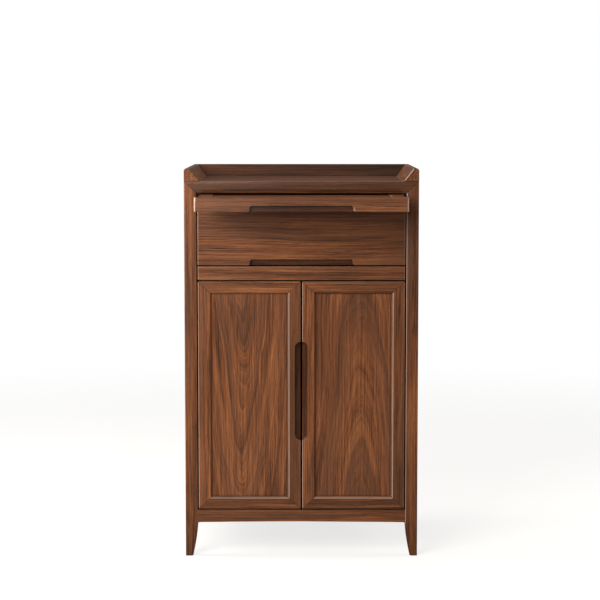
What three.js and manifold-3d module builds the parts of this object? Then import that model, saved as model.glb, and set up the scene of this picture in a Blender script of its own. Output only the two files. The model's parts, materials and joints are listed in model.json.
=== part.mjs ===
// Household altar cabinet in walnut: a two-door cupboard on tapered legs, a drawer, a pull-out
// offering tray (drawn part of the way out) and a top edged on three sides by a sloped gallery.
// Millimetres, +Z up, the front faces -Y. The origin is on the floor, at the middle of the whole
// footprint with the drawn-out tray counted in.
import * as THREE from 'three';
import { mergeVertices } from 'three/addons/utils/BufferGeometryUtils.js';
import Module from 'manifold-3d';

const wasm = await Module();
wasm.setup();

// ---- driving dimensions -------------------------------------------------------------------
const WIDTH = 600;
const DEPTH = 400;
const HEIGHT = 1004;
const TRAY_DRAWN = 150; // how far the tray stands out of its closed place

const JOINT = 0.3; // hairline left between pieces that are glued together
const GAP = 3.5; // shadow gap around doors, drawer, tray and middle rail
const CENTRE_GAP = 4; // between the two doors

const POST = 31; // posts are square
const POST_ROUND = 4; // radius of a post's outer edge
const BEVEL_WIDTH = 11; // bevel round the front opening, on posts and top rail
const BEVEL_DEPTH = 3.5;
const TOP_RAIL = 31;
const BOTTOM_RAIL = 32.5;
const MIDDLE_RAIL = 35;
const RAIL_THICK = 25; // bottom front rail
const LEG_HEIGHT = 84; // the part of a post that tapers
const FOOT = 19; // a leg's width at the floor
const LEG_CURVE = 1.56; // 1 would be a straight taper
const LEG_STEPS = 10;
const LEG_CLEARANCE = 87.5; // floor to the underside of the bottom rails

const GALLERY_HEIGHT = 32;
const GALLERY_BASE = 38.5;
const GALLERY_TOP = 14;
const GALLERY_ROUND = 6;

const PANEL_THICK = 14;
const PANEL_SET = 3; // side and back panels lie this far inside the frame's outer face
const TABLETOP_THICK = 22;
const SHELF_THICK = 18; // cupboard floor and the board under the drawer

const FRONT_THICK = 21; // doors, drawer front and tray front
const FRONT_SET = 1; // their faces lie this far behind the posts' faces
const DRAWER_FRONT = 142;
const TRAY_FRONT = 35;

const DOOR_STILE = 34;
const DOOR_RAIL = 32;
const DOOR_LIP = 7; // thickness of the frame in front of the panel
const DOOR_REBATE = 8; // how far the panel reaches behind the frame
const DOOR_PANEL_THICK = 9;
const STICKING_WIDTH = 3.5; // chamfer along the frame's inner edge
const STICKING_DEPTH = 4.5;

const PULL_LENGTH = 253; // tall finger recess shared by the two doors
const PULL_WIDTH = 32;
const PULL_CENTRE = 431.5;
const PULL_ROUND = 14;
const RECESS_DEPTH = 12;

const NOTCH_HEIGHT = 15; // finger notch in the lower edge of tray and drawer fronts
const TRAY_NOTCH = { top: 244, foot: 266 };
const DRAWER_NOTCH = { top: 254, foot: 273 };

const TRAY_WIDTH = 514;
const TRAY_LENGTH = 340;
const TRAY_THICK = 18;
const TRAY_STILE = 32;
const TRAY_PANEL_SET = 1.5; // the tray's panel lies this far below its frame

const DRAWER_WIDTH = 500;
const DRAWER_LENGTH = 325;
const DRAWER_SIDE_HEIGHT = 108;
const DRAWER_SIDE = 12;
const DRAWER_BOTTOM = 6;
const SLIDE_PLAY = 0.8; // clearance of sliding pieces

const RUNNER_REACH = 14; // how far a tray runner's lips reach over and under the tray
const RUNNER_LIP = 10;
const GUIDE_HEIGHT = 25; // strips beside the drawer

const RAIL_ARCH = 2; // rise of the bottom front rail's lower edge
const RAIL_FILLET = 5;
const OGEE_SWEEP = 2; // how far a notch's curve swings past its two ends
const OGEE_STEPS = 10;
const ARC_STEPS = 6;
const SMALL_ARC_STEPS = 4;
const CUTTER = 400; // size of the blocks that cut mitres
const OVERSHOOT = 1; // how far a notch's cutter stands out of the board

// ---- levels and faces worked out from them ------------------------------------------------
const HALF = WIDTH / 2;
const OPENING = HALF - POST; // half the width between the front posts
const FRONT_HALF = OPENING - GAP; // half the width of drawer and tray fronts

const TABLETOP = HEIGHT - GALLERY_HEIGHT;
const TOP_RAIL_FOOT = TABLETOP - TOP_RAIL;
const TRAY_TOP = TOP_RAIL_FOOT - GAP;
const TRAY_FOOT = TRAY_TOP - TRAY_FRONT;
const DRAWER_TOP = TRAY_FOOT - GAP;
const DRAWER_FOOT = DRAWER_TOP - DRAWER_FRONT;
const MIDDLE_TOP = DRAWER_FOOT - GAP;
const MIDDLE_FOOT = MIDDLE_TOP - MIDDLE_RAIL;
const DOOR_TOP = MIDDLE_FOOT - GAP;
const BOTTOM_TOP = LEG_CLEARANCE + BOTTOM_RAIL;
const DOOR_FOOT = BOTTOM_TOP + GAP;

const FRONT_BACK = FRONT_SET + FRONT_THICK; // back of doors and drawer front
const REAR = DEPTH - POST; // front of the rear posts
const PANEL_INNER = HALF - PANEL_SET - PANEL_THICK; // inner face of the side panels
const TABLETOP_HALF = HALF - GALLERY_BASE; // the tabletop fills the room inside the gallery
const TABLETOP_BACK = DEPTH - GALLERY_BASE;

// ---- woods --------------------------------------------------------------------------------
const WOOD_ROUGHNESS = 0.45;
const woods = {
  walnut: 0x7a4c34,
  walnut_panel: 0x784b32,
  walnut_inner: 0x8a6246,
};

const cabinet = new THREE.Group();
cabinet.position.y = -(DEPTH - TRAY_DRAWN + FRONT_SET) / 2;

function add(name, geometry, wood = 'walnut') {
  const material = new THREE.MeshStandardMaterial({
    color: woods[wood],
    roughness: WOOD_ROUGHNESS,
    metalness: 0,
  });
  const mesh = new THREE.Mesh(geometry, material);
  mesh.name = name;
  cabinet.add(mesh);
}

// ---- shapes -------------------------------------------------------------------------------
function board(x, y, z) {
  const geometry = new THREE.BoxGeometry(x[1] - x[0], y[1] - y[0], z[1] - z[0]);
  geometry.translate((x[0] + x[1]) / 2, (y[0] + y[1]) / 2, (z[0] + z[1]) / 2);
  return geometry;
}

function arc(centre, radius, from, to, steps = ARC_STEPS) {
  const points = [];
  for (let i = 0; i <= steps; i += 1) {
    const angle = THREE.MathUtils.degToRad(from + ((to - from) * i) / steps);
    points.push([centre[0] + radius * Math.cos(angle), centre[1] + radius * Math.sin(angle)]);
  }
  return points;
}

function outline(points) {
  return new THREE.Shape(points.map(([a, b]) => new THREE.Vector2(a, b)));
}

// An outline drawn in X and Z, given its thickness along Y.
function frontBoard(points, y) {
  const options = { depth: y[1] - y[0], bevelEnabled: false };
  const geometry = new THREE.ExtrudeGeometry(outline(points), options);
  geometry.rotateX(Math.PI / 2);
  geometry.translate(0, y[1], 0);
  return geometry;
}

// A plan drawn in X and Y, given its height along Z.
function standing(points, z) {
  const options = { depth: z[1] - z[0], bevelEnabled: false };
  const geometry = new THREE.ExtrudeGeometry(outline(points), options);
  geometry.translate(0, 0, z[0]);
  return geometry;
}

// A section drawn in Y and Z, run along X.
function runAlongX(points, x) {
  const options = { depth: x[1] - x[0], bevelEnabled: false };
  const geometry = new THREE.ExtrudeGeometry(outline(points), options);
  geometry.rotateX(Math.PI / 2);
  geometry.rotateZ(Math.PI / 2);
  geometry.translate(x[0], 0, 0);
  return geometry;
}

function solidOf(geometry) {
  const bare = geometry.clone();
  bare.deleteAttribute('normal');
  bare.deleteAttribute('uv');
  const merged = mergeVertices(bare, 1e-3);
  const mesh = new wasm.Mesh({
    numProp: 3,
    vertProperties: new Float32Array(merged.attributes.position.array),
    triVerts: new Uint32Array(merged.index.array),
  });
  return new wasm.Manifold(mesh);
}

function geometryOf(solid) {
  const mesh = solid.getMesh();
  const geometry = new THREE.BufferGeometry();
  geometry.setAttribute('position', new THREE.BufferAttribute(mesh.vertProperties, 3));
  geometry.setIndex(new THREE.BufferAttribute(mesh.triVerts, 1));
  return geometry;
}

function subtract(geometry, ...cutters) {
  const cut = cutters.reduce((solid, cutter) => solid.subtract(solidOf(cutter)), solidOf(geometry));
  return geometryOf(cut);
}

// A block whose one face passes through a point; it takes away what lies beyond along the normal.
function beyond(point, normal) {
  const direction = new THREE.Vector3(...normal).normalize();
  const turn = new THREE.Quaternion().setFromUnitVectors(new THREE.Vector3(0, 0, 1), direction);
  const block = new THREE.BoxGeometry(CUTTER, CUTTER, CUTTER);
  block.applyQuaternion(turn);
  const centre = new THREE.Vector3(...point).addScaledVector(direction, (CUTTER - JOINT) / 2);
  block.translate(centre.x, centre.y, centre.z);
  return block;
}

// ---- posts --------------------------------------------------------------------------------
function shareOfPost(z) {
  const down = Math.max(0, (LEG_HEIGHT - z) / LEG_HEIGHT);
  return 1 - (1 - FOOT / POST) * down ** LEG_CURVE;
}

// Section from the outer corner inwards: across, then back from the outer face.
function postSection(bevelled) {
  const round = arc([POST_ROUND, POST_ROUND], POST_ROUND, 180, 270, SMALL_ARC_STEPS);
  const inner = bevelled
    ? [[POST - BEVEL_WIDTH, 0], [POST, BEVEL_DEPTH]]
    : [[POST, 0]];
  return [...round, ...inner, [POST, POST], [0, POST]];
}

function post(side, front) {
  const place = ([across, back]) => [side * (HALF - across), front ? back : DEPTH - back];
  const shape = outline(postSection(front).map(place));
  const steps = LEG_STEPS + 1;
  const geometry = new THREE.ExtrudeGeometry(shape, { depth: steps, steps, bevelEnabled: false });
  const position = geometry.attributes.position;
  const outerX = side * HALF;
  const outerY = front ? 0 : DEPTH;
  const top = TABLETOP - JOINT;
  for (let i = 0; i < position.count; i += 1) {
    const step = Math.round(position.getZ(i));
    const z = step > LEG_STEPS ? top : (LEG_HEIGHT * step) / LEG_STEPS;
    const share = shareOfPost(z);
    const x = outerX + (position.getX(i) - outerX) * share;
    const y = outerY + (position.getY(i) - outerY) * share;
    position.setXYZ(i, x, y, z);
  }
  return geometry;
}

const mitreAt = (side) => [side * HALF, 0, TABLETOP];

for (const [name, side] of [['left', -1], ['right', 1]]) {
  const rail = beyond(mitreAt(side), [-side, 0, 1]);
  add(`front_${name}_post`, subtract(post(side, true), rail));
  add(`rear_${name}_post`, post(side, false));
}

// ---- top: front rail, side and back rails, tabletop, gallery ------------------------------
const topRailSection = [
  [0, TABLETOP - JOINT],
  [0, TOP_RAIL_FOOT + BEVEL_WIDTH],
  [BEVEL_DEPTH, TOP_RAIL_FOOT],
  [POST, TOP_RAIL_FOOT],
  [POST, TABLETOP - JOINT],
];
const topRail = runAlongX(topRailSection, [-HALF, HALF]);
const postCutters = [-1, 1].map((side) => beyond(mitreAt(side), [side, 0, -1]));
add('top_front_rail', subtract(topRail, ...postCutters));

// The side and back rails reach inwards under the gallery as far as the tabletop's edge.
const alongSides = [POST + JOINT, REAR - JOINT];
const topRailLevels = [TOP_RAIL_FOOT, TABLETOP - JOINT];
const bottomRailLevels = [LEG_CLEARANCE, BOTTOM_TOP];
const panelLevels = [BOTTOM_TOP + JOINT, TOP_RAIL_FOOT - JOINT];
const tabletopFoot = TABLETOP - TABLETOP_THICK;
const sideTopRailSection = [
  [HALF, TOP_RAIL_FOOT],
  [HALF, TABLETOP - JOINT],
  [TABLETOP_HALF + JOINT, TABLETOP - JOINT],
  [TABLETOP_HALF + JOINT, tabletopFoot],
  [PANEL_INNER, tabletopFoot],
  [PANEL_INNER, TOP_RAIL_FOOT],
];
for (const [name, side] of [['left', -1], ['right', 1]]) {
  const section = sideTopRailSection.map(([across, up]) => [side * across, up]);
  const across = [side * PANEL_INNER, side * HALF].sort((a, b) => a - b);
  const panelAcross = [side * PANEL_INNER, side * (HALF - PANEL_SET)].sort((a, b) => a - b);
  add(`${name}_side_top_rail`, frontBoard(section, alongSides));
  add(`${name}_side_bottom_rail`, board(across, alongSides, bottomRailLevels));
  add(`${name}_side_panel`, board(panelAcross, alongSides, panelLevels), 'walnut_panel');
}

const backEnd = OPENING - JOINT;
const backInner = TABLETOP_HALF - JOINT;
const backTopRailPlan = [
  [-backEnd, DEPTH],
  [-backEnd, REAR],
  [-backInner, REAR],
  [-backInner, TABLETOP_BACK + JOINT],
  [backInner, TABLETOP_BACK + JOINT],
  [backInner, REAR],
  [backEnd, REAR],
  [backEnd, DEPTH],
];
const backPanel = [DEPTH - PANEL_SET - PANEL_THICK, DEPTH - PANEL_SET];
add('back_top_rail', standing(backTopRailPlan, topRailLevels));
add('back_bottom_rail', board([-backEnd, backEnd], [REAR, DEPTH], bottomRailLevels));
add('back_panel', board([-backEnd, backEnd], backPanel, panelLevels), 'walnut_panel');

add(
  'tabletop',
  board(
    [-TABLETOP_HALF, TABLETOP_HALF],
    [POST + JOINT, TABLETOP_BACK],
    [tabletopFoot, TABLETOP - JOINT],
  ),
  'walnut_panel',
);

// Gallery section: across from the outer face inwards, then up.
const gallerySection = [
  [0, TABLETOP],
  [GALLERY_BASE, TABLETOP],
  [GALLERY_TOP, HEIGHT],
  ...arc([GALLERY_ROUND, HEIGHT - GALLERY_ROUND], GALLERY_ROUND, 90, 180),
];
for (const [name, side] of [['left', -1], ['right', 1]]) {
  const section = gallerySection.map(([across, up]) => [side * (HALF - across), up]);
  const back = beyond([side * HALF, DEPTH, TABLETOP], [-side, 1, 0]);
  add(`gallery_${name}`, subtract(frontBoard(section, [0, DEPTH]), back));
}
const galleryBack = gallerySection.map(([across, up]) => [DEPTH - across, up]);
const sideCutters = [-1, 1].map((side) => beyond([side * HALF, DEPTH, TABLETOP], [side, -1, 0]));
add('gallery_back', subtract(runAlongX(galleryBack, [-HALF, HALF]), ...sideCutters));

// ---- rails and boards inside the carcass --------------------------------------------------
add(
  'middle_rail',
  board([-FRONT_HALF, FRONT_HALF], [FRONT_SET, POST], [MIDDLE_FOOT, MIDDLE_TOP]),
);

// The bottom rail's lower edge rises in a shallow arch between small fillets at the posts.
function bottomRailOutline() {
  const half = OPENING - JOINT;
  const foot = LEG_CLEARANCE - RAIL_FILLET;
  const archHalf = half - RAIL_FILLET;
  const arch = [];
  for (let i = -ARC_STEPS; i <= ARC_STEPS; i += 1) {
    const share = i / ARC_STEPS;
    arch.push([archHalf * share, LEG_CLEARANCE + RAIL_ARCH * (1 - share * share)]);
  }
  const left = arc([-archHalf, foot], RAIL_FILLET, 180, 90, SMALL_ARC_STEPS).slice(0, -1);
  const right = arc([archHalf, foot], RAIL_FILLET, 90, 0, SMALL_ARC_STEPS).slice(1);
  return [[-half, BOTTOM_TOP], ...left, ...arch, ...right, [half, BOTTOM_TOP]];
}
add('bottom_front_rail', frontBoard(bottomRailOutline(), [BEVEL_DEPTH, BEVEL_DEPTH + RAIL_THICK]));

const insideWidth = [-PANEL_INNER + JOINT, PANEL_INNER - JOINT];
add(
  'cupboard_floor',
  board(insideWidth, alongSides, [BOTTOM_TOP - SHELF_THICK, BOTTOM_TOP]),
  'walnut_inner',
);
add(
  'drawer_bearer_board',
  board(insideWidth, alongSides, [MIDDLE_TOP - SHELF_THICK, MIDDLE_TOP]),
  'walnut_inner',
);

// ---- finger notch and recess --------------------------------------------------------------
// Cutter for a notch in the lower edge of a front: flat on top, an ogee down to each foot.
function notchCutter({ top, foot }, edge, face) {
  const start = new THREE.Vector2(top / 2, edge + NOTCH_HEIGHT);
  const end = new THREE.Vector2(foot / 2, edge);
  const upper = new THREE.Vector2(foot / 2 - OGEE_SWEEP, edge + NOTCH_HEIGHT);
  const lower = new THREE.Vector2(top / 2 + OGEE_SWEEP, edge);
  const ogee = new THREE.CubicBezierCurve(start, upper, lower, end).getPoints(OGEE_STEPS);
  const right = ogee.map((point) => [point.x, point.y]);
  const left = right.map(([x, z]) => [-x, z]).reverse();
  const below = edge - OVERSHOOT;
  const points = [...right, [foot / 2, below], [-foot / 2, below], ...left];
  return frontBoard(points, [face - OVERSHOOT, face + RECESS_DEPTH]);
}

function pullCutter() {
  const x = PULL_WIDTH / 2 - PULL_ROUND;
  const z = PULL_LENGTH / 2 - PULL_ROUND;
  const points = [
    ...arc([x, PULL_CENTRE + z], PULL_ROUND, 0, 90),
    ...arc([-x, PULL_CENTRE + z], PULL_ROUND, 90, 180),
    ...arc([-x, PULL_CENTRE - z], PULL_ROUND, 180, 270),
    ...arc([x, PULL_CENTRE - z], PULL_ROUND, 270, 360),
  ];
  return frontBoard(points, [FRONT_SET - OVERSHOOT, FRONT_SET + RECESS_DEPTH]);
}

// ---- pull-out offering tray ---------------------------------------------------------------
const trayFace = FRONT_SET - TRAY_DRAWN;
const trayFront = trayFace + FRONT_THICK + JOINT;
const trayBack = trayFace + TRAY_LENGTH;
const trayHalf = TRAY_WIDTH / 2;
const trayFrameLevels = [TRAY_TOP - TRAY_THICK, TRAY_TOP];
const trayPanelHalf = trayHalf - TRAY_STILE - JOINT;

add(
  'tray_front',
  subtract(
    board([-FRONT_HALF, FRONT_HALF], [trayFace, trayFace + FRONT_THICK], [TRAY_FOOT, TRAY_TOP]),
    notchCutter(TRAY_NOTCH, TRAY_FOOT, trayFace),
  ),
);
add(
  'tray_left_stile',
  board([-trayHalf, -trayHalf + TRAY_STILE], [trayFront, trayBack], trayFrameLevels),
);
add(
  'tray_right_stile',
  board([trayHalf - TRAY_STILE, trayHalf], [trayFront, trayBack], trayFrameLevels),
);
add(
  'tray_back_rail',
  board([-trayPanelHalf, trayPanelHalf], [trayBack - TRAY_STILE, trayBack], trayFrameLevels),
);
add(
  'tray_panel',
  board(
    [-trayPanelHalf, trayPanelHalf],
    [trayFront, trayBack - TRAY_STILE - JOINT],
    [TRAY_TOP - TRAY_THICK, TRAY_TOP - TRAY_PANEL_SET],
  ),
  'walnut_panel',
);

// Grooved runners that hold the tray's edges.
const runnerLength = [POST + JOINT, TABLETOP_BACK];
const runnerInner = trayHalf - RUNNER_REACH;
const grooveWall = trayHalf + SLIDE_PLAY;
const grooveFoot = TRAY_TOP - TRAY_THICK - SLIDE_PLAY;
const grooveTop = TRAY_TOP + SLIDE_PLAY;
const runnerSection = [
  [PANEL_INNER - JOINT, grooveFoot - RUNNER_LIP],
  [PANEL_INNER - JOINT, grooveTop + RUNNER_LIP],
  [runnerInner, grooveTop + RUNNER_LIP],
  [runnerInner, grooveTop],
  [grooveWall, grooveTop],
  [grooveWall, grooveFoot],
  [runnerInner, grooveFoot],
  [runnerInner, grooveFoot - RUNNER_LIP],
];
for (const [name, side] of [['left', -1], ['right', 1]]) {
  const section = runnerSection.map(([across, up]) => [side * across, up]);
  add(`tray_${name}_runner`, frontBoard(section, runnerLength), 'walnut_inner');
}

// ---- drawer -------------------------------------------------------------------------------
const boxFront = FRONT_BACK + JOINT;
const boxBack = FRONT_SET + DRAWER_LENGTH;
const boxFoot = MIDDLE_TOP + SLIDE_PLAY;
const boxTop = boxFoot + DRAWER_SIDE_HEIGHT;
const boxHalf = DRAWER_WIDTH / 2;
const boxInner = boxHalf - DRAWER_SIDE - JOINT;

add(
  'drawer_front',
  subtract(
    board([-FRONT_HALF, FRONT_HALF], [FRONT_SET, FRONT_BACK], [DRAWER_FOOT, DRAWER_TOP]),
    notchCutter(DRAWER_NOTCH, DRAWER_FOOT, FRONT_SET),
  ),
);
for (const [name, side] of [['left', -1], ['right', 1]]) {
  const across = [side * (boxHalf - DRAWER_SIDE), side * boxHalf].sort((a, b) => a - b);
  add(`drawer_${name}_side`, board(across, [boxFront, boxBack], [boxFoot, boxTop]), 'walnut_inner');
  const guide = [side * (boxHalf + SLIDE_PLAY), side * (PANEL_INNER - JOINT)];
  const guideLevels = [MIDDLE_TOP + JOINT, MIDDLE_TOP + GUIDE_HEIGHT];
  add(
    `drawer_${name}_guide`,
    board(guide.sort((a, b) => a - b), alongSides, guideLevels),
    'walnut_inner',
  );
}
add(
  'drawer_back',
  board([-boxInner, boxInner], [boxBack - DRAWER_SIDE, boxBack], [boxFoot, boxTop]),
  'walnut_inner',
);
add(
  'drawer_bottom',
  board(
    [-boxInner, boxInner],
    [boxFront, boxBack - DRAWER_SIDE - JOINT],
    [boxFoot + DRAWER_BOTTOM, boxFoot + 2 * DRAWER_BOTTOM],
  ),
  'walnut_inner',
);

// ---- doors --------------------------------------------------------------------------------
// Frame section: across from the door's outer edge, then back from its face.
function frameSection(width) {
  return [
    [0, 0],
    [width - STICKING_WIDTH, 0],
    [width, STICKING_DEPTH],
    [width, DOOR_LIP],
    [width - DOOR_REBATE, DOOR_LIP],
    [width - DOOR_REBATE, FRONT_THICK],
    [0, FRONT_THICK],
  ];
}

// A stile stands along Z from the section in X and Y; toward says which way the section runs.
function stile(edge, toward, z) {
  const points = frameSection(DOOR_STILE).map(([across, back]) => [
    edge + toward * across,
    FRONT_SET + back,
  ]);
  return standing(points, z);
}

function doorRail(edge, toward, x) {
  const points = frameSection(DOOR_RAIL).map(([across, back]) => [
    FRONT_SET + back,
    edge + toward * across,
  ]);
  return runAlongX(points, x);
}

function door(name, x) {
  const z = [DOOR_FOOT, DOOR_TOP];
  // The mitre at a corner runs from the door's corner to the corner of the panel's opening.
  const corner = (i, k) => [x[i], 0, z[k]];
  const acrossMitre = (i, k) => {
    const inX = i === 0 ? 1 : -1;
    const inZ = k === 0 ? 1 : -1;
    return [DOOR_RAIL * inX, 0, -DOOR_STILE * inZ];
  };
  const keepStile = (i, k) => beyond(corner(i, k), acrossMitre(i, k));
  const keepRail = (i, k) => beyond(corner(i, k), acrossMitre(i, k).map((part) => -part));
  const pull = pullCutter();
  const sides = [['left', 0, 1], ['right', 1, -1]];
  for (const [side, i, toward] of sides) {
    const plain = stile(x[i], toward, z);
    const mitred = subtract(plain, keepStile(i, 0), keepStile(i, 1));
    const hasPull = side !== name;
    const kind = hasPull ? 'pull' : 'hinge';
    add(`${name}_door_${kind}_stile`, hasPull ? subtract(mitred, pull) : mitred);
  }
  for (const [side, k, toward] of [['bottom', 0, 1], ['top', 1, -1]]) {
    const plain = doorRail(z[k], toward, x);
    add(`${name}_door_${side}_rail`, subtract(plain, keepRail(0, k), keepRail(1, k)));
  }
  const insetX = DOOR_STILE - DOOR_REBATE + JOINT;
  const insetZ = DOOR_RAIL - DOOR_REBATE + JOINT;
  const panelFace = FRONT_SET + DOOR_LIP + JOINT;
  add(
    `${name}_door_panel`,
    board(
      [x[0] + insetX, x[1] - insetX],
      [panelFace, panelFace + DOOR_PANEL_THICK],
      [z[0] + insetZ, z[1] - insetZ],
    ),
    'walnut_panel',
  );
}
door('left', [-FRONT_HALF, -CENTRE_GAP / 2]);
door('right', [CENTRE_GAP / 2, FRONT_HALF]);

export default cabinet;
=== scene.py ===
import json
import math

import bmesh
import bpy
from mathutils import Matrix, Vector


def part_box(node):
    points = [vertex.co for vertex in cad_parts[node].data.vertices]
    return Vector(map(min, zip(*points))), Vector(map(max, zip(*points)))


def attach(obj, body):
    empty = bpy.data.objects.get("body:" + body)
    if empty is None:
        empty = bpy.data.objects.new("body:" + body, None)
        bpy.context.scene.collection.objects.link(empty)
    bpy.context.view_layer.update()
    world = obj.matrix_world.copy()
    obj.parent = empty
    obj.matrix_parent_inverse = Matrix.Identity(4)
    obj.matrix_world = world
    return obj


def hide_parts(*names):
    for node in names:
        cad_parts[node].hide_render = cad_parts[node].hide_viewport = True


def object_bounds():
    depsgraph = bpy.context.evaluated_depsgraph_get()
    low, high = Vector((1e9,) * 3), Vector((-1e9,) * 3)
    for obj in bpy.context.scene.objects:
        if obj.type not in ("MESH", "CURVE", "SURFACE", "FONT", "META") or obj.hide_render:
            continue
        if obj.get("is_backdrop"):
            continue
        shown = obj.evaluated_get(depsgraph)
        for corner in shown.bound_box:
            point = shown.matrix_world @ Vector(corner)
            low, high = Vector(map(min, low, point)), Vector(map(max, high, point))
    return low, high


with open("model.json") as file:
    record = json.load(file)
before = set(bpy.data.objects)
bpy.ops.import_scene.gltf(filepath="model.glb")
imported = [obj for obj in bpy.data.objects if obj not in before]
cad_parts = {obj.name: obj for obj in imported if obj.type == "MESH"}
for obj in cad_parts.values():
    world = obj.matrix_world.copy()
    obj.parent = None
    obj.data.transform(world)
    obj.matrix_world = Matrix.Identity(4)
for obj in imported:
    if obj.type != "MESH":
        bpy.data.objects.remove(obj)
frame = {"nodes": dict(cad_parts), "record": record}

cad_low, cad_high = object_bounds()

# ---- the board each piece is cut from ------------------------------------------------------
# pith: how far the tree's middle lies from the board's middle, across its face and behind it,
# in metres. gap: the width of one year's ring, in metres. rise: how fast the rings widen along
# the board, which draws the pointed arches on a flat-sawn face.
STRAIGHT = {"pith": (0.32, 0.10), "gap": 0.0062, "rise": 0.012}
GENTLE = {"pith": (0.17, 0.05), "gap": 0.0068, "rise": 0.05}
FIGURES = {
    "left_door_panel": {"pith": (-0.020, 0.022), "gap": 0.0062, "rise": -0.21},
    "right_door_panel": {"pith": (0.016, 0.026), "gap": 0.0066, "rise": 0.17},
    "drawer_front": GENTLE,
    "tabletop": GENTLE,
    "tray_panel": GENTLE,
    "left_side_panel": {"pith": (0.03, 0.05), "gap": 0.0066, "rise": 0.12},
    "right_side_panel": {"pith": (-0.04, 0.05), "gap": 0.0066, "rise": 0.10},
    "back_panel": {"pith": (0.05, 0.08), "gap": 0.0070, "rise": 0.10},
}
# How light a board's colour is beside the others: partly the board's own tone, partly painted
# light and shade on pieces the lamps leave too dark or too bright. A board that isn't named here
# is 1.
TONE_AND_PAINTED_LIGHT = {
    "left_door_panel": 1.09,
    "right_door_panel": 0.93,
    "left_door_hinge_stile": 1.10,
    "left_door_pull_stile": 0.72,
    "right_door_pull_stile": 0.97,
    "right_door_hinge_stile": 0.68,
    "left_door_top_rail": 1.10,
    "right_door_top_rail": 0.88,
    "left_door_bottom_rail": 0.75,
    "right_door_bottom_rail": 0.74,
    "drawer_front": 0.84,
    "middle_rail": 0.80,
    "tray_front": 0.97,
    "top_front_rail": 0.61,
    "tabletop": 0.84,
    "gallery_back": 0.36,
    "gallery_left": 1.06,
    "gallery_right": 0.92,
    "bottom_front_rail": 0.90,
    "front_left_post": 1.13,
    "front_right_post": 0.88,
}
# How much lighter a board's colour is painted with each metre to the right, or up if it is
# upright: a painted fall of light from the left across the cabinet, and on the right-hand post
# painted light where the tray shades its upper part.
PAINTED_LIGHT_SLOPES = {
    "gallery_back": -0.45,
    "top_front_rail": -0.50,
    "drawer_front": -0.65,
    "middle_rail": -0.20,
    "tray_front": -0.15,
    "front_left_post": -0.12,
    "front_right_post": 0.35,
}
# How much clear lacquer lies on a board.
COAT = {"top_front_rail": 0.85, "tray_front": 0.85, "front_right_post": 0.06}
COAT_ELSEWHERE = 0.30


# ---- node helpers --------------------------------------------------------------------------
class Recipe:
    """A node tree that is written down step by step."""

    def __init__(self, tree):
        self.tree = tree

    def step(self, kind, settings=None, inputs=None, out=0):
        """Adds a node and hands back one of its outputs, or the node if it has none."""
        node = self.tree.nodes.new(kind)
        for key, value in (settings or {}).items():
            setattr(node, key, value)
        for key, value in (inputs or {}).items():
            if isinstance(value, bpy.types.NodeSocket):
                self.tree.links.new(value, node.inputs[key])
            else:
                node.inputs[key].default_value = value
        return node.outputs[out] if node.outputs else node

    def sum(self, operation, a, b=0.0, c=0.0):
        return self.step("ShaderNodeMath", {"operation": operation}, {0: a, 1: b, 2: c})

    def stretch(self, vector, amounts, shift=(0.0, 0.0, 0.0)):
        """Multiplies a vector and then moves it."""
        settings = {"operation": "MULTIPLY_ADD"}
        return self.step("ShaderNodeVectorMath", settings, {0: vector, 1: amounts, 2: shift})

    def cloud(self, vector, detail=2.0, rough=0.5, out=0):
        """Soft noise."""
        inputs = {"Vector": vector, "Scale": 1.0, "Detail": detail, "Roughness": rough}
        return self.step("ShaderNodeTexNoise", None, inputs, out)

    def between(self, value, low, high, to_low=0.0, to_high=1.0):
        """A smooth step from one level to another."""
        settings = {"interpolation_type": "SMOOTHSTEP"}
        inputs = {"Value": value, 1: low, 2: high, 3: to_low, 4: to_high}
        return self.step("ShaderNodeMapRange", settings, inputs)

    def blend(self, share, a, b, kind="MIX"):
        settings = {"data_type": "RGBA", "blend_type": kind}
        return self.step("ShaderNodeMix", settings, {0: share, 6: a, 7: b}, out=2)


def rgb(red, green, blue):
    return (red, green, blue, 1.0)


# ---- walnut --------------------------------------------------------------------------------
PALE_BROWN = rgb(0.364, 0.138, 0.049)
WARM_BROWN = rgb(0.268, 0.089, 0.030)
GREY_BROWN = rgb(0.128, 0.043, 0.016)
DARK_LINE = rgb(0.045, 0.016, 0.007)
DULL_BROWN = rgb(0.145, 0.059, 0.029)
WEAR_AND_HIGHLIGHT_BROWN = rgb(0.800, 0.560, 0.440)
STAIN_AND_SHADE_TINT = rgb(0.20, 0.16, 0.13)
BROWNS = ((0.02, PALE_BROWN), (0.30, WARM_BROWN), (0.66, GREY_BROWN), (1.0, DARK_LINE))

# How often each layer of the figure repeats in a metre: across, behind and along the board.
DRIFT_SIZE = (8.0, 8.0, 2.2)
RIPPLE_SIZE = (70.0, 70.0, 7.0)
GRAIN_SIZE = (260.0, 260.0, 3.4)
FIBRE_SIZE = (720.0, 720.0, 9.0)
THREAD_SIZE = (1700.0, 1700.0, 26.0)
PATCH_SIZE = (12.0, 12.0, 3.2)
FLECK_SIZE = (560.0, 560.0, 17.0)
PORE_SIZE = (1500.0, 1500.0, 48.0)
# The layers that follow the rings: outwards from the tree's middle, and along the board.
BAND_SIZE = (46.0, 1.8)
STREAK_SIZE = (240.0, 2.6)
DULL_SIZE = (38.0, 1.2)
# How much darker each layer makes the wood.
BAND_SHADE = 0.24
STREAK_SHADE = 0.30
GRAIN_SHADE = 0.32
LATE_SHADE = 0.11
FIBRE_SHADE = 1.1
THREAD_SHADE = 0.6
PATCH_SHADE = 0.6
FLECK_SHADE = 0.26
PORE_SHADE = 0.45
DULL_SHADE = 0.42
STAIN_AND_SHADE_DEPTH = 0.80
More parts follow.
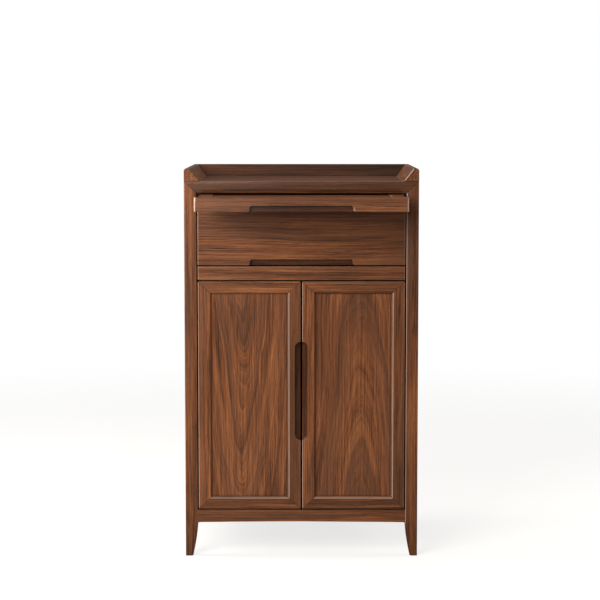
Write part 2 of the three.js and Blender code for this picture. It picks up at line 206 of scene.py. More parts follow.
# How far the tree's middle wanders across and behind the board, and the rings' fine ripple.
SWAY = 0.050
BOW = 0.036
RIPPLE = 0.005
ARCH = 0.045  # how wide the arches stand
ARCH_TIP = 0.0020  # how blunt their tips are, in square metres
TIP_DRIFT = 0.30  # how far the tips wander along the board
LATE_WOOD = (0.30, 0.88)  # the part of a ring that darkens slowly
RING_END = (0.93, 1.0)  # the part that ends it sharply
LACQUER_ROUGH = 0.36
FIBRE_ROUGH = 0.16
PORE_ROUGH = 0.12
FIBRE_HEIGHT = 0.30
PORE_HEIGHT = -0.7
LATE_HEIGHT = -0.12
RELIEF = 0.0003  # metres
RELIEF_SHARE = 0.25
LACQUER_SHINE = 0.16
COAT_ROUGH = 0.17


def walnut_figure():
    """The grain of a walnut board. Board runs across, behind and along the face, in metres."""
    group = bpy.data.node_groups.new("walnut figure", "ShaderNodeTree")
    face = group.interface
    face.new_socket("Board", in_out="INPUT", socket_type="NodeSocketVector")
    for name in ("Seed", "Across", "Behind", "Ring gap", "Rise", "Lit", "Change", "Worn",
                 "Stained"):
        face.new_socket(name, in_out="INPUT", socket_type="NodeSocketFloat")
    face.new_socket("Colour", in_out="OUTPUT", socket_type="NodeSocketColor")
    face.new_socket("Roughness", in_out="OUTPUT", socket_type="NodeSocketFloat")
    face.new_socket("Height", in_out="OUTPUT", socket_type="NodeSocketFloat")
    given = group.nodes.new("NodeGroupInput").outputs
    r = Recipe(group)

    board = given["Board"]
    seed = given["Seed"]
    apart = r.step("ShaderNodeCombineXYZ", None, {0: seed, 1: r.sum("MULTIPLY", seed, 1.73),
                                                  2: r.sum("MULTIPLY", seed, 2.39)})
    here = r.step("ShaderNodeVectorMath", {"operation": "ADD"}, {0: board, 1: apart})
    parts = group.nodes.new("ShaderNodeSeparateXYZ")
    group.links.new(board, parts.inputs[0])
    across, behind, along = parts.outputs

    # Rings: distance from the tree's middle, wandering along the board. The arches that the
    # rings draw are steep over the middle and run out nearly straight at the sides.
    drift = group.nodes.new("ShaderNodeSeparateXYZ")
    group.links.new(r.cloud(r.stretch(here, DRIFT_SIZE), 2.0, 0.5, "Color"), drift.inputs[0])
    sway = r.sum("MULTIPLY_ADD", drift.outputs[0], SWAY, -SWAY / 2)
    bow = r.sum("MULTIPLY_ADD", drift.outputs[1], BOW, -BOW / 2)
    out_x = r.sum("ADD", r.sum("SUBTRACT", across, given["Across"]), sway)
    out_y = r.sum("ADD", r.sum("SUBTRACT", behind, given["Behind"]), bow)
    square = r.sum("ADD", r.sum("MULTIPLY", out_x, out_x), r.sum("MULTIPLY", out_y, out_y))
    ripple = r.cloud(r.stretch(here, RIPPLE_SIZE), 3.0, 0.55)
    ripple = r.sum("MULTIPLY_ADD", ripple, RIPPLE, -RIPPLE / 2)
    reach = r.sum("ADD", r.sum("SQRT", square), ripple)
    steep = r.sum("DIVIDE", ARCH, r.sum("SQRT", r.sum("ADD", square, ARCH_TIP)))
    late_along = r.sum("MULTIPLY_ADD", drift.outputs[2], TIP_DRIFT, along)
    climb = r.sum("MULTIPLY", r.sum("MULTIPLY", late_along, given["Rise"]), steep)
    reach = r.sum("ADD", reach, climb)
    years = r.sum("DIVIDE", reach, given["Ring gap"])
    ring = r.sum("FRACT", years)
    late = r.sum("MULTIPLY", r.between(ring, *LATE_WOOD), r.between(ring, *RING_END, 1.0, 0.0))
    good_years = r.step("ShaderNodeTexNoise", {"noise_dimensions": "1D"},
                        {"W": r.sum("ADD", r.sum("MULTIPLY", years, 0.37), seed),
                         "Scale": 1.0, "Detail": 1.0})
    late = r.sum("MULTIPLY", late, r.between(good_years, 0.36, 0.64, 0.25, 1.0))

    # Bands of several years, streaks that follow the rings, straight fibres, and pores.
    def along_rings(size, shift):
        return r.step("ShaderNodeCombineXYZ", None, {
            0: r.sum("MULTIPLY", reach, size[0]),
            1: r.sum("MULTIPLY", along, size[1]),
            2: r.sum("ADD", seed, shift),
        })

    band = r.cloud(along_rings(BAND_SIZE, 0.0), 2.0, 0.5)
    streak = r.cloud(along_rings(STREAK_SIZE, 7.3), 4.0, 0.68)
    grain = r.cloud(r.stretch(here, GRAIN_SIZE), 4.0, 0.68)
    fibre = r.cloud(r.stretch(here, FIBRE_SIZE), 3.0, 0.6)
    thread = r.cloud(r.stretch(here, THREAD_SIZE), 2.0, 0.6)
    patch = r.cloud(r.stretch(here, PATCH_SIZE), 2.0, 0.5)
    fleck = r.between(r.cloud(r.stretch(here, FLECK_SIZE, (4.1, 0.0, 0.0)), 2.0), 0.57, 0.68)
    pore = r.between(r.cloud(r.stretch(here, PORE_SIZE), 1.0, 0.5), 0.58, 0.68)

    shade = r.between(band, 0.36, 0.64, 0.0, BAND_SHADE)
    shade = r.sum("ADD", shade, r.between(streak, 0.35, 0.65, 0.0, STREAK_SHADE))
    shade = r.sum("ADD", shade, r.between(grain, 0.35, 0.65, 0.0, GRAIN_SHADE))
    shade = r.sum("MULTIPLY_ADD", late, LATE_SHADE, shade)
    for layer, depth in ((fibre, FIBRE_SHADE), (thread, THREAD_SHADE), (patch, PATCH_SHADE)):
        shade = r.sum("MULTIPLY_ADD", r.sum("SUBTRACT", layer, 0.5), depth, shade)
    shade = r.sum("MULTIPLY_ADD", fleck, FLECK_SHADE, shade)

    ramp = group.nodes.new("ShaderNodeValToRGB")
    group.links.new(shade, ramp.inputs[0])
    stops = ramp.color_ramp.elements
    stops[0].position, stops[0].color = BROWNS[0]
    stops[1].position, stops[1].color = BROWNS[-1]
    for place, tint in BROWNS[1:-1]:
        stops.new(place).color = tint
    colour = ramp.outputs[0]
    dull = r.between(r.cloud(along_rings(DULL_SIZE, 3.1), 1.0), 0.42, 0.70, 0.0, DULL_SHADE)
    colour = r.blend(dull, colour, DULL_BROWN)
    colour = r.blend(r.sum("MULTIPLY", pore, PORE_SHADE), colour, DARK_LINE)
    # Eased edges lightened towards a pale brown: a little wear, and mostly a painted highlight
    # on the edges that face the lamps.
    wear_and_highlight_share = r.sum("MULTIPLY", given["Worn"], r.between(fibre, 0.35, 0.65, 0.75, 1.0))
    colour = r.blend(wear_and_highlight_share, colour, WEAR_AND_HIGHLIGHT_BROWN)
    # Painted light and shade: the colour is scaled by the board's tone-and-light level, which
    # slopes along the board.
    level = r.sum("MULTIPLY_ADD", along, given["Change"], given["Lit"])
    lit = r.step("ShaderNodeCombineColor", None, {0: level, 1: level, 2: level})
    colour = r.blend(1.0, colour, lit, "MULTIPLY")
    # Darkened towards a dark brown: a stain in the mitre joints, and painted shade in the finger
    # hollows, on the posts' bevels and along the panels' frame edges.
    stained = r.sum("MULTIPLY", given["Stained"], STAIN_AND_SHADE_DEPTH)
    colour = r.blend(stained, colour, STAIN_AND_SHADE_TINT, "MULTIPLY")

    rough = r.sum("MULTIPLY_ADD", fibre, FIBRE_ROUGH, LACQUER_ROUGH)
    rough = r.sum("MULTIPLY_ADD", pore, PORE_ROUGH, rough)
    height = r.sum("MULTIPLY", fibre, FIBRE_HEIGHT)
    height = r.sum("MULTIPLY_ADD", pore, PORE_HEIGHT, height)
    height = r.sum("MULTIPLY_ADD", late, LATE_HEIGHT, height)

    end = group.nodes.new("NodeGroupOutput").inputs
    group.links.new(colour, end["Colour"])
    group.links.new(rough, end["Roughness"])
    group.links.new(height, end["Height"])
    return group


FIGURE = walnut_figure()
# How a board is turned so that its fibres run along the figure's own upright axis.
TURNS = {
    "z": (0.0, 0.0, 0.0),
    "x": (0.0, math.pi / 2, 0.0),
    "y": (math.pi / 2, 0.0, 0.0),
}


def walnut(name, grain, seed, pith, gap, rise, lit, painted_light_slope, centre, coat):
    """Satin-lacquered walnut whose fibres run along one axis of the cabinet."""
    material = bpy.data.materials.new(name)
    material.use_nodes = True
    tree = material.node_tree
    tree.nodes.clear()
    r = Recipe(tree)
    place = r.step("ShaderNodeTexCoord", out="Object")
    moved = r.step("ShaderNodeVectorMath", {"operation": "SUBTRACT"}, {0: place, 1: centre})
    board = r.step("ShaderNodeMapping", None, {"Vector": moved, "Rotation": TURNS[grain]})
    worn = r.step("ShaderNodeAttribute", {"attribute_name": "worn"}, out="Fac")
    stained = r.step("ShaderNodeAttribute", {"attribute_name": "stained"}, out="Fac")
    figure = tree.nodes.new("ShaderNodeGroup")
    figure.node_tree = FIGURE
    tree.links.new(board, figure.inputs["Board"])
    tree.links.new(worn, figure.inputs["Worn"])
    tree.links.new(stained, figure.inputs["Stained"])
    for key, value in (("Seed", seed), ("Across", pith[0]), ("Behind", pith[1]),
                       ("Ring gap", gap), ("Rise", rise), ("Lit", lit),
                       ("Change", -painted_light_slope if grain == "x" else painted_light_slope)):
        figure.inputs[key].default_value = value
    bump = r.step("ShaderNodeBump", None, {"Height": figure.outputs["Height"],
                                           "Strength": RELIEF_SHARE, "Distance": RELIEF})
    lacquer = tree.nodes.new("ShaderNodeBsdfPrincipled")
    tree.links.new(figure.outputs["Colour"], lacquer.inputs["Base Color"])
    tree.links.new(figure.outputs["Roughness"], lacquer.inputs["Roughness"])
    tree.links.new(bump, lacquer.inputs["Normal"])
    lacquer.inputs["Specular IOR Level"].default_value = LACQUER_SHINE
    lacquer.inputs["Coat Weight"].default_value = coat
    lacquer.inputs["Coat Roughness"].default_value = COAT_ROUGH
    end = tree.nodes.new("ShaderNodeOutputMaterial")
    tree.links.new(lacquer.outputs[0], end.inputs[0])
    return material


# ---- boards with softened edges ------------------------------------------------------------
MERGE = 1e-6  # corners closer than this are one
PLACES = 8  # decimals that a corner's place is kept to, in metres
FLAT = math.radians(0.5)  # faces that meet flatter than this are one
CREASE = math.radians(24.0)  # edges sharper than this are eased
TO_FRONT = -0.9  # a face's normal points at least this far forward
SQUARE_TO_FRONT = -0.95
SQUARE_TO_END = 0.95
BEVEL_LOOK = (-0.96, -0.945)  # how far a post's bevel looks to the front
BEVEL_LINE = math.radians(15.0)  # where a post's face turns into its bevel
JOINT_FACE = 2e-4  # square metres; mitred ends are larger than this
NARROW = 0.004  # facets of curves are narrower than this, flat faces wider
ROUNDED_ENDS = {"tray_front": 0.0045, "drawer_front": 0.002}
ROUND_STEPS = 4
EASE_STEPS = 3
ARRIS = 0.0009  # how far an edge is eased
FRONT_ARRIS = 0.0018  # the same for the edges of a front face
JOINT_ARRIS = 0.0004  # the same at a mitre
OUTER = 0.0045  # an arris this close to a board's own outer edge takes the wear
UPRIGHT_END = 0.02  # a mitred end leans less than this along its own axis
SLANT = 0.3  # and at least this much along both others


def is_mitre(face, axis):
    """True for a mitred end: a large slanting face that stands along the given axis."""
    normal = [abs(part) for part in face.normal]
    upright = normal.pop("xyz".index(axis))
    area = face.calc_area() if isinstance(face, bmesh.types.BMFace) else face.area
    return upright < UPRIGHT_END and min(normal) > SLANT and area > JOINT_FACE


def put_in_order(work):
    """Orders corners and faces by where they lie, so that each run gives the same mesh."""
    work.verts.index_update()
    places = [tuple(round(part, PLACES) for part in vert.co) for vert in work.verts]
    order = sorted(range(len(places)), key=places.__getitem__)
    rank = {old: new for new, old in enumerate(order)}
    faces = []
    for face in work.faces:
        ring = [rank[vert.index] for vert in face.verts]
        start = ring.index(min(ring))
        faces.append((ring[start:] + ring[:start], face.material_index))
    faces.sort()
    mesh = bpy.data.meshes.new("in order")
    mesh.from_pydata([places[old] for old in order], [], [ring for ring, _ in faces])
    for face, (_, part) in zip(mesh.polygons, faces):
        face.material_index = part
    work.clear()
    work.from_mesh(mesh)
    bpy.data.meshes.remove(mesh)


def round_ends(work, radius):
    """Rounds the front edges at a board's two ends."""
    front = min(vert.co.y for vert in work.verts)
    ends = [
        edge for edge in work.edges
        if all(vert.co.y < front + MERGE for vert in edge.verts)
        and any(abs(face.normal.x) > SQUARE_TO_END for face in edge.link_faces)
    ]
    rounds = bmesh.ops.bevel(work, geom=ends, offset=radius, segments=ROUND_STEPS,
                             profile=0.5, affect="EDGES")["faces"]
    for face in rounds:
        face.material_index = 1


def softness(edge, mitre):
    """How far an edge is rounded, in metres."""
    if len(edge.link_faces) != 2:
        return 0.0
    turn = edge.calc_face_angle(0.0)
    if turn > BEVEL_LINE and all(face.normal.y < TO_FRONT for face in edge.link_faces):
        return ARRIS
    if turn < CREASE:
        return 0.0
    if mitre and any(is_mitre(face, mitre) for face in edge.link_faces):
        return JOINT_ARRIS if mitre == "y" else 2 * JOINT_ARRIS
    if any(face.normal.y < SQUARE_TO_FRONT for face in edge.link_faces):
        return FRONT_ARRIS
    return ARRIS


# A post's leg tapers towards its outer corner; its width follows a power of the height.
POST_WIDTH = 0.031
FOOT_WIDTH = 0.019
LEG_HEIGHT = 0.084
LEG_CURVE = 1.56
LEG_RINGS = 24


def tapered_leg():
    """Draws the lower part of a straight post in towards the post's outer corner."""
    tree = bpy.data.node_groups.new("tapered leg", "GeometryNodeTree")
    tree.is_modifier = True
    face = tree.interface
    face.new_socket("Post", in_out="INPUT", socket_type="NodeSocketGeometry")
    for name in ("Post width", "Foot width", "Leg height", "Leg curve"):
        face.new_socket(name, in_out="INPUT", socket_type="NodeSocketFloat")
    face.new_socket("Outer corner", in_out="INPUT", socket_type="NodeSocketVector")
    face.new_socket("Wood", in_out="INPUT", socket_type="NodeSocketMaterial")
    face.new_socket("Tapered post", in_out="OUTPUT", socket_type="NodeSocketGeometry")
    given = tree.nodes.new("NodeGroupInput").outputs
    r = Recipe(tree)
    place = r.step("GeometryNodeInputPosition")
    height = r.step("ShaderNodeSeparateXYZ", None, {0: place}, "Z")
    below = r.sum("SUBTRACT", given["Leg height"], height)
    down = r.sum("DIVIDE", r.sum("MAXIMUM", below, 0.0), given["Leg height"])
    lost = r.sum("SUBTRACT", 1.0, r.sum("DIVIDE", given["Foot width"], given["Post width"]))
    lost = r.sum("MULTIPLY", lost, r.sum("POWER", down, given["Leg curve"]))
    share = r.sum("SUBTRACT", 1.0, lost)
    scale = r.step("ShaderNodeCombineXYZ", None, {0: share, 1: share, 2: 1.0})
    corner = given["Outer corner"]
    from_corner = r.step("ShaderNodeVectorMath", {"operation": "SUBTRACT"},
                         {0: place, 1: corner})
    moved = r.stretch(from_corner, scale, corner)
    post = r.step("GeometryNodeSetPosition", None, {"Geometry": given["Post"],
                                                    "Position": moved})
    post = r.step("GeometryNodeRealizeInstances", None, {0: post})
    post = r.step("GeometryNodeSetMaterial", None, {"Geometry": post,
                                                    "Material": given["Wood"]})
    end = tree.nodes.new("NodeGroupOutput").inputs
    tree.links.new(post, end["Tapered post"])
    return tree


TAPERED_LEG = tapered_leg()


def carried_down(work):
    """Makes a post straight down to the floor, with the rings its taper is drawn on."""
    every = work.verts[:] + work.edges[:] + work.faces[:]
    top_ring = Vector((0.0, 0.0, LEG_HEIGHT + MERGE))
    cut = bmesh.ops.bisect_plane(work, geom=every, plane_co=top_ring, plane_no=(0, 0, 1),
                                 clear_inner=True)
    rim = [part for part in cut["geom_cut"] if isinstance(part, bmesh.types.BMEdge)]
    lower = bmesh.ops.extrude_edge_only(work, edges=rim)["geom"]
    for vert in lower:
        if isinstance(vert, bmesh.types.BMVert):
            vert.co.z = 0.0
    bmesh.ops.edgeloop_fill(work, edges=[
        part for part in lower if isinstance(part, bmesh.types.BMEdge)
        and all(vert.co.z == 0.0 for vert in part.verts)
    ])
    for ring in range(1, LEG_RINGS):
        every = work.verts[:] + work.edges[:] + work.faces[:]
        place = (0.0, 0.0, LEG_HEIGHT * ring / LEG_RINGS)
        bmesh.ops.bisect_plane(work, geom=every, plane_co=place, plane_no=(0, 0, 1))
    bmesh.ops.recalc_face_normals(work, faces=work.faces)
    put_in_order(work)


def taper(blank, node, wood):
    """Hangs the leg's taper on a straight post."""
    low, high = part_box(node)
    corner = (low.x if low.x < 0.0 else high.x, low.y if node.startswith("front") else high.y, 0)
    modifier = blank.modifiers.new("leg", "NODES")
    modifier.node_group = TAPERED_LEG
    values = {"Post width": POST_WIDTH, "Foot width": FOOT_WIDTH, "Leg height": LEG_HEIGHT,
              "Leg curve": LEG_CURVE, "Outer corner": corner, "Wood": wood}
    for socket in TAPERED_LEG.interface.items_tree:
        if socket.in_out == "INPUT" and socket.name in values:
            modifier[socket.identifier] = values[socket.name]


def softened(node, body, wood, mitre):
    """A board of the cabinet with eased edges, made from its solid, in its own wood."""
    work = bmesh.new()
    work.from_mesh(frame["nodes"][node].data)
    bmesh.ops.remove_doubles(work, verts=work.verts, dist=MERGE)
    bmesh.ops.dissolve_limit(work, angle_limit=FLAT, verts=work.verts, edges=work.edges)
    if node.endswith("post"):
        carried_down(work)
    if node in ROUNDED_ENDS:
        round_ends(work, ROUNDED_ENDS[node])
    weight = work.edges.layers.float.new("bevel_weight_edge")
    for edge in work.edges:
        edge[weight] = softness(edge, mitre) / FRONT_ARRIS
    rough_mesh = bpy.data.meshes.new(node)
    work.to_mesh(rough_mesh)
    work.free()
    blank = bpy.data.objects.new(node + "_blank", rough_mesh)
    bpy.context.scene.collection.objects.link(blank)
    rough_mesh.materials.append(wood)
    rough_mesh.materials.append(wood)
    rough_mesh.shade_smooth()
    if node.endswith("post"):
        taper(blank, node, wood)
    ease = blank.modifiers.new("ease", "BEVEL")
    ease.limit_method = "WEIGHT"
    ease.width = FRONT_ARRIS
    ease.segments = EASE_STEPS
    ease.material = 1
    finished(blank, node, body, wood, mitre)


# How far an eased edge is lightened towards the pale wood colour, 0 not at all, 1 fully: a
# little wear, and mostly a painted highlight that is strongest on edges facing the light from
# the left and above.
WEAR_AND_HIGHLIGHT_BEHIND = 0.35
WEAR_AND_HIGHLIGHT_BESIDE_PANEL = 0.65
WEAR_AND_HIGHLIGHT_BELOW_PANEL = 0.45
WEAR_AND_HIGHLIGHT_GALLERY_END = 0.60
WEAR_AND_HIGHLIGHT_TOP = 0.05
WEAR_AND_HIGHLIGHT_LEFT = {"tray_front": 0.9, "drawer_front": 0.7, "front_right_post": 0.9}
WEAR_AND_HIGHLIGHT_LEFT_ELSEWHERE = 0.45
WEAR_AND_HIGHLIGHT_RIGHT = {"tray_front": 0.6, "drawer_front": 0.6}
WEAR_AND_HIGHLIGHT_RIGHT_ELSEWHERE = 0.25
WEAR_AND_HIGHLIGHT_ABOVE = 0.20
WEAR_AND_HIGHLIGHT_BELOW = 0.15
WEAR_AND_HIGHLIGHT_ELSEWHERE = 0.08
# How far a facet leans before it counts as looking forward, sideways, or up or down.
FORWARD = -0.1
SIDEWAYS = 0.2
UP_OR_DOWN = 0.3


def wear_and_highlight_on(face, node):
    """How far one facet of an eased edge is lightened by wear and painted highlight."""
    low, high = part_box(node)
    x, _, z = face.center
    across, outwards, up = face.normal
    if outwards > FORWARD:
        return WEAR_AND_HIGHLIGHT_BEHIND
    if "_door_" in node:
        panel_low, panel_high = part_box(node.split("_door_")[0] + "_door_panel")
        to_panel = (panel_low + panel_high) / 2 - (low + high) / 2
        # Around a door's panel the edges that face the light, up or to the left, get a painted
        # highlight; those facing away get none.
        if node.endswith("stile") and across * to_panel.x > 0.0:
            return 0.0 if across > 0.0 else WEAR_AND_HIGHLIGHT_BESIDE_PANEL
        if node.endswith("rail") and up * to_panel.z > 0.0:
            return WEAR_AND_HIGHLIGHT_BELOW_PANEL if up > 0.0 else 0.0
    # Painted highlight on the right-hand gallery's slope edge, which faces the light at the
    # left.
    if node == "gallery_right" and across < -SIDEWAYS:
        return WEAR_AND_HIGHLIGHT_GALLERY_END
    if node == "top_front_rail" or node.startswith("gallery"):
        return WEAR_AND_HIGHLIGHT_TOP
    # Painted highlight, strongest on edges that face left and up towards the key light, weaker
    # on those facing right and down.
    if x - low.x < OUTER and across < -SIDEWAYS:
        return WEAR_AND_HIGHLIGHT_LEFT.get(node, WEAR_AND_HIGHLIGHT_LEFT_ELSEWHERE)
    if high.x - x < OUTER and across > SIDEWAYS:
        return WEAR_AND_HIGHLIGHT_RIGHT.get(node, WEAR_AND_HIGHLIGHT_RIGHT_ELSEWHERE)
    if high.z - z < OUTER and up > UP_OR_DOWN:
        return WEAR_AND_HIGHLIGHT_ABOVE
    if z - low.z < OUTER and up < -UP_OR_DOWN:
        return WEAR_AND_HIGHLIGHT_BELOW
    return WEAR_AND_HIGHLIGHT_ELSEWHERE


# The finger notches in the drawer and the tray, and the finger recesses in the doors.
NOTCHED = ("tray_front", "drawer_front")
RECESSED = ("left_door_pull_stile", "right_door_pull_stile")
HOLLOW_STARTS = 0.0025  # behind the face
SKIN = 0.0005  # a face this close to a board's own edge is the edge
NOTCH_REACH = 0.137  # from the middle to each end
NOTCH_HEIGHT = 0.0155
RECESS_WIDTH = 0.0145
RECESS_MIDDLE = 0.4315  # above the floor
RECESS_REACH = 0.128  # up and down from its middle
STILE_LEFT_WHOLE = 0.01  # from the stile's other edge


def is_hollow(centre, node, rim=0.0):
    """True for the floor and walls of a finger notch or recess, and for its rim if asked."""
    low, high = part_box(node)
    inside = low.y + HOLLOW_STARTS < centre.y < high.y - HOLLOW_STARTS or rim > 0.0
    if node in RECESSED:
        edge = high.x if node.startswith("left") else low.x
        other = low.x if node.startswith("left") else high.x
        beside = abs(centre.x - edge) < RECESS_WIDTH + rim
        level = abs(centre.z - RECESS_MIDDLE) < RECESS_REACH + rim
        clear = abs(centre.x - other) > STILE_LEFT_WHOLE
        in_face = rim > 0.0 or abs(centre.x - edge) > SKIN
        return inside and beside and level and clear and in_face
    level = SKIN < centre.z - low.z < NOTCH_HEIGHT
    return inside and abs(centre.x) < NOTCH_REACH and level


# Narrow lines of painted light and shade: a painted shadow on a door's panel along the frame's
# right-hand and lower edges, and a painted highlight on the right-hand post's inner edge.
SHADOW_LINE = 0.0040  # on a door's panel, along the frame's right-hand edge
FOOT_LINE = 0.0030  # the same along the frame's lower edge
HIGHLIGHT_LINE = 0.0018  # on the right-hand post, along the drawer and the doors
SHADOW_LINE_SHADE = 0.62
FOOT_LINE_SHADE = 0.50
HIGHLIGHT_LINE_WEAR = 0.50


def lines_of(node):
    """A board's narrow lines: axis, level, the side they lie on, how far a painted highlight
    lightens them, how far a painted shadow darkens them.
    """
    low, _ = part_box(node)
    if node == "front_right_post":
        return [("x", low.x + HIGHLIGHT_LINE, -1, HIGHLIGHT_LINE_WEAR, 0.0)]
    if node.endswith("_door_panel"):
        door = node.removesuffix("panel")
        frame_right = door + ("pull_stile" if node.startswith("left") else "hinge_stile")
        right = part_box(frame_right)[0].x - SHADOW_LINE
        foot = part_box(door + "bottom_rail")[1].z + FOOT_LINE
        return [("z", foot, -1, 0.0, FOOT_LINE_SHADE), ("x", right, 1, 0.0, SHADOW_LINE_SHADE)]
    return []


def cut_lines(mesh, lines):
    """Cuts a board's front along its narrow lines, so that they can be coloured apart."""
    work = bmesh.new()
    work.from_mesh(mesh)
    for axis, level, *_ in lines:
        front = [face for face in work.faces
                 if face.normal.y < TO_FRONT and face.calc_center_median().z > LEG_HEIGHT]
        every = list(dict.fromkeys(
            part for face in front for part in (face, *face.edges, *face.verts)
        ))
        along = Vector((axis == "x", 0.0, axis == "z"))
        bmesh.ops.bisect_plane(work, geom=every, plane_co=along * level, plane_no=along)
    put_in_order(work)
    work.to_mesh(mesh)
    work.free()


# How dark the darkened parts are painted, from 0 to 1: a real stain in the mitre joints, and
# painted shade in the finger hollows, on their rims and on the posts' bevels.
JOINT_STAIN = 0.9
RECESS_RIM_SHADE = 0.6
POST_BEVEL_SHADE = 0.35
LEFT_RECESS_SHADE = 0.85
HOLLOW_SHADE = 1.0


def mark_faces(mesh, node, mitre, lines):
    """Writes on each face how far wear and painted highlight lighten it and how far stain and
    painted shade darken it, and smooths the curved ones.
    """
    worn = mesh.attributes.new("worn", "FLOAT", "FACE").data
    stained = mesh.attributes.new("stained", "FLOAT", "FACE").data
    joints = [face for face in mesh.polygons if mitre and is_mitre(face, mitre)]
    for face in mesh.polygons:
        corners = [mesh.vertices[index].co for index in face.vertices]
        longest = max((a - b).length for a, b in zip(corners, corners[1:] + corners[:1]))
        face.use_smooth = bool(face.material_index) or face.area / longest < NARROW
        if face.material_index:
            in_joint = any(
                abs((face.center - end.center).dot(end.normal)) < 2 * JOINT_ARRIS
                for end in joints
            )
            worn[face.index].value = 0.0 if in_joint else wear_and_highlight_on(face, node)
            stained[face.index].value = JOINT_STAIN * in_joint
            # Painted shade on the rim of a door's finger recess.
            if node in RECESSED and is_hollow(face.center, node, FRONT_ARRIS):
                worn[face.index].value = 0.0
                stained[face.index].value = RECESS_RIM_SHADE
        # Painted shade on a post's inner bevel.
        elif node.endswith("post") and BEVEL_LOOK[0] < face.normal.y < BEVEL_LOOK[1]:
            stained[face.index].value = POST_BEVEL_SHADE
        # Painted shade on the floor and walls of a finger notch or recess, a little less in the
        # left door's.
        elif node in NOTCHED + RECESSED and is_hollow(face.center, node):
            left = node.startswith("left")
            stained[face.index].value = LEFT_RECESS_SHADE if left else HOLLOW_SHADE
        # The narrow lines take their painted highlight or painted shadow.
        for axis, level, side, wear_and_highlight_share, dark in lines:
            past = (getattr(face.center, axis) - level) * side > 0.0
            if past and face.normal.y < TO_FRONT and face.center.z > LEG_HEIGHT:
                worn[face.index].value = wear_and_highlight_share
                stained[face.index].value = dark
        face.material_index = 0


def finished(blank, node, body, wood, mitre):
    """Turns a worked blank into a plain mesh that rides on its body in place of its solid."""
    mesh = bpy.data.meshes.new_from_object(blank.evaluated_get(
        bpy.context.evaluated_depsgraph_get()))
    bpy.data.objects.remove(blank)
    lines = lines_of(node)
    if lines:
        cut_lines(mesh, lines)
    mark_faces(mesh, node, mitre, lines)
    mesh.materials.clear()
    mesh.materials.append(wood)
    piece = bpy.data.objects.new(node + "_wood", mesh)
    bpy.context.scene.collection.objects.link(piece)
    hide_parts(node)
    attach(piece, body)


# ---- which board is which ------------------------------------------------------------------
bodies = {
    node: body
    for body, nodes in frame["record"]["behaviour"]["bodies"].items()
    for node in nodes
}
UPRIGHT = ("post", "stile", "side_panel", "back_panel", "door_panel")
FROM_FRONT_TO_BACK = ("gallery_left", "gallery_right", "side_top_rail", "side_bottom_rail",
                      "runner", "guide", "drawer_left_side", "drawer_right_side",
                      "tray_left_stile", "tray_right_stile")


def grain_of(node):
    """The axis that a board's fibres run along."""
    if any(word in node for word in FROM_FRONT_TO_BACK):
        return "y"
    if any(word in node for word in UPRIGHT):
        return "z"
    return "x"


FIRST_SEED = 3.7
NEXT_SEED = 1.31

for index, node in enumerate(sorted(bodies)):
    low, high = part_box(node)
    centre = tuple((low + high) / 2)
    grain = grain_of(node)
    figure = FIGURES.get(node, STRAIGHT)
    wood = walnut("walnut " + node.replace("_", " "), grain, FIRST_SEED + NEXT_SEED * index,
                  figure["pith"], figure["gap"], figure["rise"], TONE_AND_PAINTED_LIGHT.get(node, 1.0),
                  PAINTED_LIGHT_SLOPES.get(node, 0.0), centre, COAT.get(node, COAT_ELSEWHERE))
    mitre = ""
    if "_door_" in node or node in ("top_front_rail", "front_left_post", "front_right_post"):
        mitre = "y"
    if node.startswith("gallery"):
        mitre = "z"
    softened(node, bodies[node], wood, mitre)


# ---- floor, light and camera ---------------------------------------------------------------
FLOOR_RADIUS = 4.0
FLOOR_SIDES = 96
FLOOR_THINS = (0.9, 3.6)  # from where to where the floor turns clear
FLOOR_GLOW = 0.74
FLOOR_PAINT = rgb(0.36, 0.345, 0.32)
ROOM_SEEN = rgb(1.0, 1.0, 1.0)
ROOM_FELT = rgb(1.0, 0.95, 0.88)
ROOM_LIGHT = 0.15


def studio_floor():
    """A round pale floor that thins out into the white room at its rim."""
    mesh = bpy.data.meshes.new("studio floor")
    turns = (math.tau * step / FLOOR_SIDES for step in range(FLOOR_SIDES))
    rim = [(FLOOR_RADIUS * math.cos(turn), FLOOR_RADIUS * math.sin(turn), 0.0)
           for turn in turns]
    mesh.from_pydata(rim, [], [tuple(range(FLOOR_SIDES))])
    floor = bpy.data.objects.new("studio_floor", mesh)
    bpy.context.scene.collection.objects.link(floor)
    material = bpy.data.materials.new("pale floor")
    material.use_nodes = True
    tree = material.node_tree
    tree.nodes.clear()
    r = Recipe(tree)
    eye = r.step("ShaderNodeLightPath", out="Is Camera Ray")
    glow = r.step("ShaderNodeEmission", None, {0: rgb(1.0, 1.0, 1.0),
                                               1: r.sum("MULTIPLY", eye, FLOOR_GLOW)})
    paint = r.step("ShaderNodeBsdfDiffuse", None, {0: FLOOR_PAINT})
    lit = r.step("ShaderNodeAddShader", None, {0: glow, 1: paint})
    place = r.step("ShaderNodeTexCoord", out="Object")
    out = r.step("ShaderNodeVectorMath", {"operation": "LENGTH"}, {0: place}, "Value")
    thin = r.between(out, *FLOOR_THINS)
    clear = r.step("ShaderNodeBsdfTransparent")
    mixed = r.step("ShaderNodeMixShader", None, {0: thin, 1: lit, 2: clear})
    r.step("ShaderNodeOutputMaterial", None, {0: mixed})
    mesh.materials.append(material)
    floor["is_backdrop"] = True


def softbox(name, place, target, width, height, power, tint=(1.0, 1.0, 1.0), mirrored=True):
    """A flat studio light that looks at the target and isn't seen itself."""
    data = bpy.data.lights.new(name, "AREA")
    data.shape = "RECTANGLE"
    data.size, data.size_y = width, height
    data.energy = power
    data.color = tint
    light = bpy.data.objects.new(name, data)
    light.location = place
    light.rotation_euler = (Vector(target) - Vector(place)).to_track_quat("-Z", "Y").to_euler()
    light.visible_camera = False
    light.visible_glossy = mirrored
    bpy.context.scene.collection.objects.link(light)


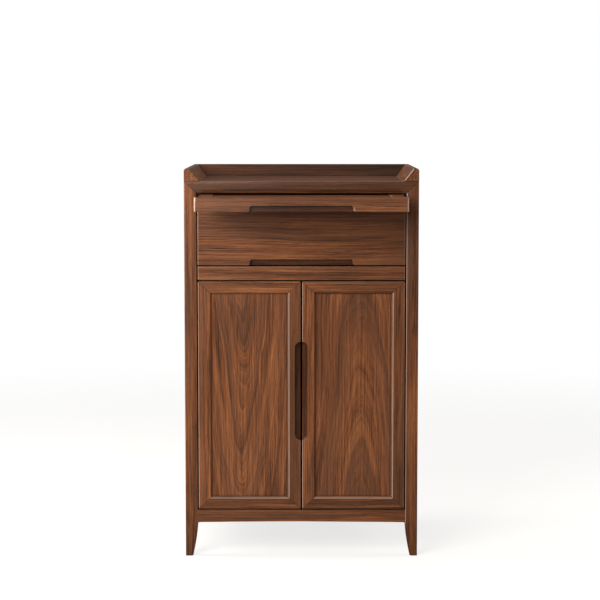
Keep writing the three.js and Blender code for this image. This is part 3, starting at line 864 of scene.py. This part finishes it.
def white_room():
    """White where it is looked at, and dim where it lights the cabinet."""
    world = bpy.data.worlds.new("white room")
    world.use_nodes = True
    tree = world.node_tree
    tree.nodes.clear()
    r = Recipe(tree)
    seen = r.step("ShaderNodeBackground", None, {0: ROOM_SEEN, 1: 1.0})
    felt = r.step("ShaderNodeBackground", None, {0: ROOM_FELT, 1: ROOM_LIGHT})
    eye = r.step("ShaderNodeLightPath", out="Is Camera Ray")
    both = r.step("ShaderNodeMixShader", None, {0: eye, 1: felt, 2: seen})
    r.step("ShaderNodeOutputWorld", None, {0: both})
    bpy.context.scene.world = world


studio_floor()
white_room()
POSTS_FACE = -0.1255
middle = (cad_low + cad_high) / 2
softbox("key", (-1.75, -2.65, 1.95), middle, 2.2, 1.8, 111.0, (1.0, 0.985, 0.96))
softbox("card", (-0.60, -2.10, 0.78), (-0.20, POSTS_FACE, 0.78), 0.9, 0.75, 1.5,
        (1.0, 0.88, 0.76))
softbox("fill", (2.6, -3.2, 1.0), middle, 1.6, 1.6, 14.0, (1.0, 0.99, 0.97))
softbox("left edge", (-2.4, 0.15, 0.9), middle, 0.6, 2.2, 60.0, mirrored=False)
softbox("right edge", (2.4, 0.15, 0.9), middle, 0.6, 2.2, 28.0, mirrored=False)
softbox("top", (0.0, 0.6, 3.0), middle, 1.2, 1.2, 12.0)

# The camera stands before the middle of the cabinet and looks slightly down on it.
EYE_DISTANCE = 4.3971  # from the posts' faces
EYE_HEIGHT = 1.1450
EYE_DIP = math.radians(5.2005)
SENSOR_WIDTH = 36.0  # millimetres, as is the next
FOCAL_LENGTH = 103.56
SHIFT_ACROSS = -0.0024
SHIFT_UP = -0.05
lens = bpy.data.cameras.new("camera")
lens.sensor_width = SENSOR_WIDTH
lens.lens = FOCAL_LENGTH
lens.shift_x = SHIFT_ACROSS
lens.shift_y = SHIFT_UP
camera = bpy.data.objects.new("camera", lens)
camera.location = (0.0, POSTS_FACE - EYE_DISTANCE, EYE_HEIGHT)
camera.rotation_euler = (math.pi / 2 - EYE_DIP, 0.0, 0.0)
bpy.context.scene.collection.objects.link(camera)
bpy.context.scene.camera = camera
bpy.context.scene.view_settings.view_transform = "Standard"

low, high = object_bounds()
